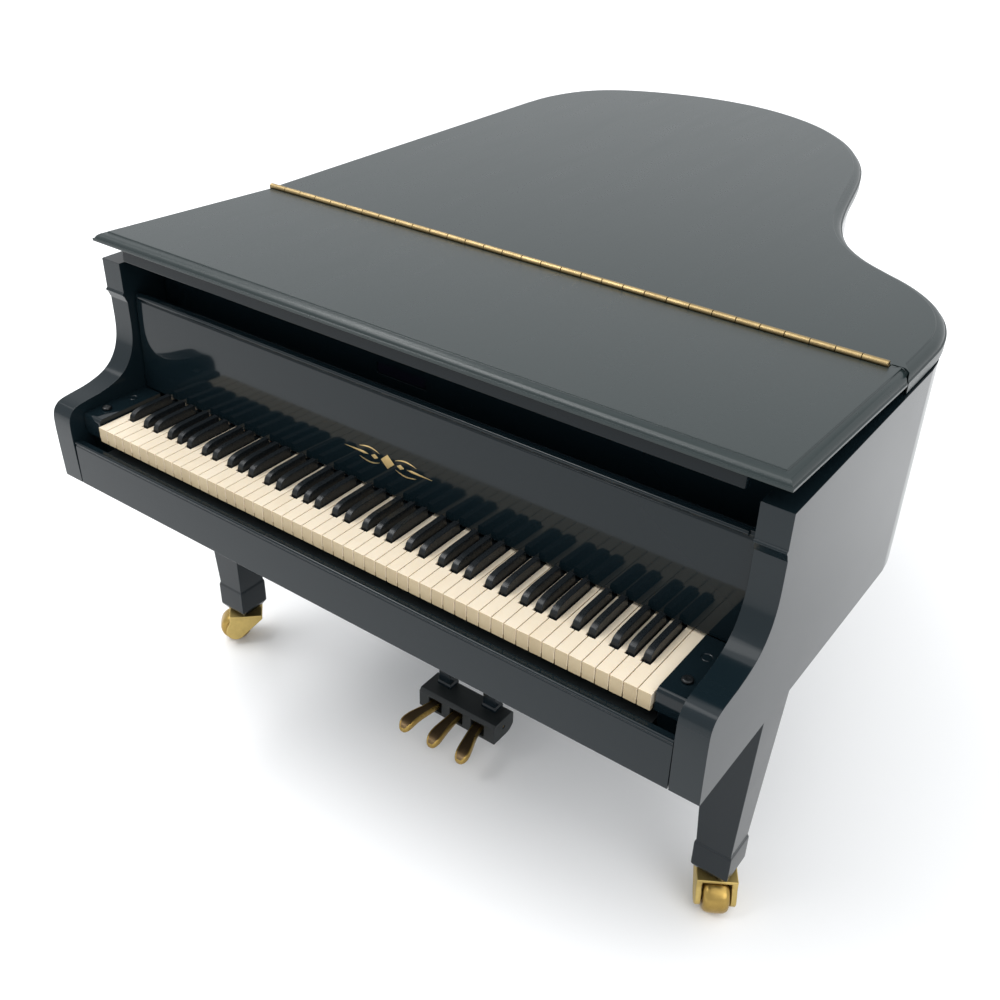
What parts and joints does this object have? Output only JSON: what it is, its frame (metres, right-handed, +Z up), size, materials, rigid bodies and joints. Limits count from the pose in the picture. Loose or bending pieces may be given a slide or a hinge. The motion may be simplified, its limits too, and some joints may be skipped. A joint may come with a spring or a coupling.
{
  "type": "miniature grand piano",
  "caption": "Gloss black miniature grand piano on three tapered legs with brass casters, hinged lid and front flap, fallboard, playing keys and a pedal lyre.",
  "frame": {"origin": "on the floor under the middle of the object's box", "axes": "+Z up, +Y from the keyboard towards the tail, +X towards the treble end"},
  "size_m": [0.2436, 0.3334, 0.1809],
  "materials": {
    "gloss_black": "piano gloss black",
    "satin_black": "satin black",
    "matte_black": "fine matte charcoal",
    "key_ivory": "smooth cream",
    "key_black": "smooth black",
    "brass": "polished brass plate, slightly dulled",
    "gold_paint": "gold paint",
    "spruce": "varnished spruce",
    "bumper_rubber": "soft rubber",
    "smoked_window": "dark smoked window"
  },
  "bodies": {
    "case": {"rim": "gloss_black", "bottom_board": "satin_black", "battery_cover": "satin_black", "key_slip": "gloss_black", "key_frame": "matte_black", "cheek_block_left": "gloss_black", "cheek_block_right": "gloss_black", "fallboard_bumper_left": "bumper_rubber", "fallboard_bumper_right": "bumper_rubber", "front_panel": "gloss_black", "sensor_window": "smoked_window", "music_desk": "gloss_black", "butt_hinge_front_rim_leaf": "brass", "butt_hinge_rear_rim_leaf": "brass", "lid_prop": "gloss_black", "soundboard": "spruce", "iron_frame": "gold_paint", "speaker": "matte_black", "leg_front_left": "gloss_black", "leg_front_right": "gloss_black", "leg_rear": "gloss_black", "lyre_box": "matte_black", "pedal_axle": "brass", "lyre_post_left": "gloss_black", "lyre_post_right": "gloss_black"},
    "lid": {"lid_main": "satin_black", "hinge_main_leaf": "brass", "hinge_pin": "brass", "butt_hinge_front_lid_leaf": "brass", "butt_hinge_rear_lid_leaf": "brass"},
    "flap": {"lid_flap": "satin_black", "hinge_flap_leaf": "brass", "lid_front_rail": "gloss_black"},
    "fallboard": {"fallboard": "gloss_black"},
    "white_keys_0": {"naturals_0": "key_ivory"},
    "black_keys_0": {"sharps_0": "key_black"},
    "white_keys_1": {"naturals_1": "key_ivory"},
    "black_keys_1": {"sharps_1": "key_black"},
    "white_keys_2": {"naturals_2": "key_ivory"},
    "black_keys_2": {"sharps_2": "key_black"},
    "white_keys_3": {"naturals_3": "key_ivory"},
    "black_keys_3": {"sharps_3": "key_black"},
    "white_keys_4": {"naturals_4": "key_ivory"},
    "black_keys_4": {"sharps_4": "key_black"},
    "white_keys_5": {"naturals_5": "key_ivory"},
    "black_keys_5": {"sharps_5": "key_black"},
    "white_keys_6": {"naturals_6": "key_ivory"},
    "black_keys_6": {"sharps_6": "key_black"},
    "white_keys_7": {"naturals_7": "key_ivory"},
    "black_keys_7": {"sharps_7": "key_black"},
    "pedal_left": {"pedal_left": "brass"},
    "pedal_middle": {"pedal_middle": "brass"},
    "pedal_right": {"pedal_right": "brass"},
    "caster_front_left": {"caster_fork_front_left": "brass"},
    "wheel_front_left": {"caster_wheel_front_left": "brass"},
    "caster_front_right": {"caster_fork_front_right": "brass"},
    "wheel_front_right": {"caster_wheel_front_right": "brass"},
    "caster_rear": {"caster_fork_rear": "brass"},
    "wheel_rear": {"caster_wheel_rear": "brass"}
  },
  "joints": [
    {"name": "lid_hinge", "type": "hinge", "parent": "case", "child": "lid", "pos_m": [-0.121, 0.01865, 0.1713], "axis": [0, -1, 0], "range_deg": [0, 38]},
    {"name": "flap_hinge", "type": "hinge", "parent": "lid", "child": "flap", "pos_m": [0, -0.06435, 0.1776], "axis": [-1, 0, 0], "range_deg": [0, 176]},
    {"name": "fallboard_pivot", "type": "hinge", "parent": "case", "child": "fallboard", "pos_m": [0, -0.13395, 0.1292], "axis": [1, 0, 0], "range_deg": [0, 91]},
    {"name": "white_keys_0_press", "type": "hinge", "parent": "case", "child": "white_keys_0", "pos_m": [-0.104, -0.12635, 0.1194], "axis": [1, 0, 0], "range_deg": [0, 2], "stiffness_Nm_per_rad": 0.1, "springref_deg": -2.86},
    {"name": "black_keys_0_press", "type": "hinge", "parent": "case", "child": "black_keys_0", "pos_m": [-0.0994, -0.13235, 0.1176], "axis": [1, 0, 0], "range_deg": [0, 3], "stiffness_Nm_per_rad": 0.1, "springref_deg": -2.86},
    {"name": "white_keys_1_press", "type": "hinge", "parent": "case", "child": "white_keys_1", "pos_m": [-0.082, -0.12635, 0.1194], "axis": [1, 0, 0], "range_deg": [0, 2], "stiffness_Nm_per_rad": 0.1, "springref_deg": -2.86},
    {"name": "black_keys_1_press", "type": "hinge", "parent": "case", "child": "black_keys_1", "pos_m": [-0.082, -0.13235, 0.1176], "axis": [1, 0, 0], "range_deg": [0, 3], "stiffness_Nm_per_rad": 0.1, "springref_deg": -2.86},
    {"name": "white_keys_2_press", "type": "hinge", "parent": "case", "child": "white_keys_2", "pos_m": [-0.054, -0.12635, 0.1194], "axis": [1, 0, 0], "range_deg": [0, 2], "stiffness_Nm_per_rad": 0.1, "springref_deg": -2.86},
    {"name": "black_keys_2_press", "type": "hinge", "parent": "case", "child": "black_keys_2", "pos_m": [-0.054, -0.13235, 0.1176], "axis": [1, 0, 0], "range_deg": [0, 3], "stiffness_Nm_per_rad": 0.1, "springref_deg": -2.86},
    {"name": "white_keys_3_press", "type": "hinge", "parent": "case", "child": "white_keys_3", "pos_m": [-0.026, -0.12635, 0.1194], "axis": [1, 0, 0], "range_deg": [0, 2], "stiffness_Nm_per_rad": 0.1, "springref_deg": -2.86},
    {"name": "black_keys_3_press", "type": "hinge", "parent": "case", "child": "black_keys_3", "pos_m": [-0.026, -0.13235, 0.1176], "axis": [1, 0, 0], "range_deg": [0, 3], "stiffness_Nm_per_rad": 0.1, "springref_deg": -2.86},
    {"name": "white_keys_4_press", "type": "hinge", "parent": "case", "child": "white_keys_4", "pos_m": [0.002, -0.12635, 0.1194], "axis": [1, 0, 0], "range_deg": [0, 2], "stiffness_Nm_per_rad": 0.1, "springref_deg": -2.86},
    {"name": "black_keys_4_press", "type": "hinge", "parent": "case", "child": "black_keys_4", "pos_m": [0.002, -0.13235, 0.1176], "axis": [1, 0, 0], "range_deg": [0, 3], "stiffness_Nm_per_rad": 0.1, "springref_deg": -2.86},
    {"name": "white_keys_5_press", "type": "hinge", "parent": "case", "child": "white_keys_5", "pos_m": [0.03, -0.12635, 0.1194], "axis": [1, 0, 0], "range_deg": [0, 2], "stiffness_Nm_per_rad": 0.1, "springref_deg": -2.86},
    {"name": "black_keys_5_press", "type": "hinge", "parent": "case", "child": "black_keys_5", "pos_m": [0.03, -0.13235, 0.1176], "axis": [1, 0, 0], "range_deg": [0, 3], "stiffness_Nm_per_rad": 0.1, "springref_deg": -2.86},
    {"name": "white_keys_6_press", "type": "hinge", "parent": "case", "child": "white_keys_6", "pos_m": [0.058, -0.12635, 0.1194], "axis": [1, 0, 0], "range_deg": [0, 2], "stiffness_Nm_per_rad": 0.1, "springref_deg": -2.86},
    {"name": "black_keys_6_press", "type": "hinge", "parent": "case", "child": "black_keys_6", "pos_m": [0.058, -0.13235, 0.1176], "axis": [1, 0, 0], "range_deg": [0, 3], "stiffness_Nm_per_rad": 0.1, "springref_deg": -2.86},
    {"name": "white_keys_7_press", "type": "hinge", "parent": "case", "child": "white_keys_7", "pos_m": [0.086, -0.12635, 0.1194], "axis": [1, 0, 0], "range_deg": [0, 2], "stiffness_Nm_per_rad": 0.1, "springref_deg": -2.86},
    {"name": "black_keys_7_press", "type": "hinge", "parent": "case", "child": "black_keys_7", "pos_m": [0.086, -0.13235, 0.1176], "axis": [1, 0, 0], "range_deg": [0, 3], "stiffness_Nm_per_rad": 0.1, "springref_deg": -2.86},
    {"name": "pedal_left_press", "type": "hinge", "parent": "case", "child": "pedal_left", "pos_m": [-0.0098, -0.09935, 0.0142], "axis": [1, 0, 0], "range_deg": [0, 5], "stiffness_Nm_per_rad": 0.1, "springref_deg": -2.86},
    {"name": "pedal_middle_press", "type": "hinge", "parent": "case", "child": "pedal_middle", "pos_m": [0, -0.09935, 0.0142], "axis": [1, 0, 0], "range_deg": [0, 5], "stiffness_Nm_per_rad": 0.1, "springref_deg": -2.86},
    {"name": "pedal_right_press", "type": "hinge", "parent": "case", "child": "pedal_right", "pos_m": [0.0098, -0.09935, 0.0142], "axis": [1, 0, 0], "range_deg": [0, 5], "stiffness_Nm_per_rad": 0.1, "springref_deg": -2.86},
    {"name": "caster_front_left_swivel", "type": "hinge", "parent": "case", "child": "caster_front_left", "pos_m": [-0.1086, -0.10815, 0.0206], "axis": [0, 0, 1], "continuous": true},
    {"name": "wheel_front_left_spin", "type": "hinge", "parent": "caster_front_left", "child": "wheel_front_left", "pos_m": [-0.11164, -0.11119, 0.0062], "axis": [0.7071, -0.7071, 0], "continuous": true},
    {"name": "caster_front_right_swivel", "type": "hinge", "parent": "case", "child": "caster_front_right", "pos_m": [0.1086, -0.10815, 0.0206], "axis": [0, 0, 1], "continuous": true},
    {"name": "wheel_front_right_spin", "type": "hinge", "parent": "caster_front_right", "child": "wheel_front_right", "pos_m": [0.11088, -0.1118, 0.0062], "axis": [0.848, 0.5299, 0], "continuous": true},
    {"name": "caster_rear_swivel", "type": "hinge", "parent": "case", "child": "caster_rear", "pos_m": [-0.042, 0.10965, 0.0206], "axis": [0, 0, 1], "continuous": true},
    {"name": "wheel_rear_spin", "type": "hinge", "parent": "caster_rear", "child": "wheel_rear", "pos_m": [-0.04053, 0.10561, 0.0062], "axis": [0.9397, 0.342, 0], "continuous": true}
  ]
}
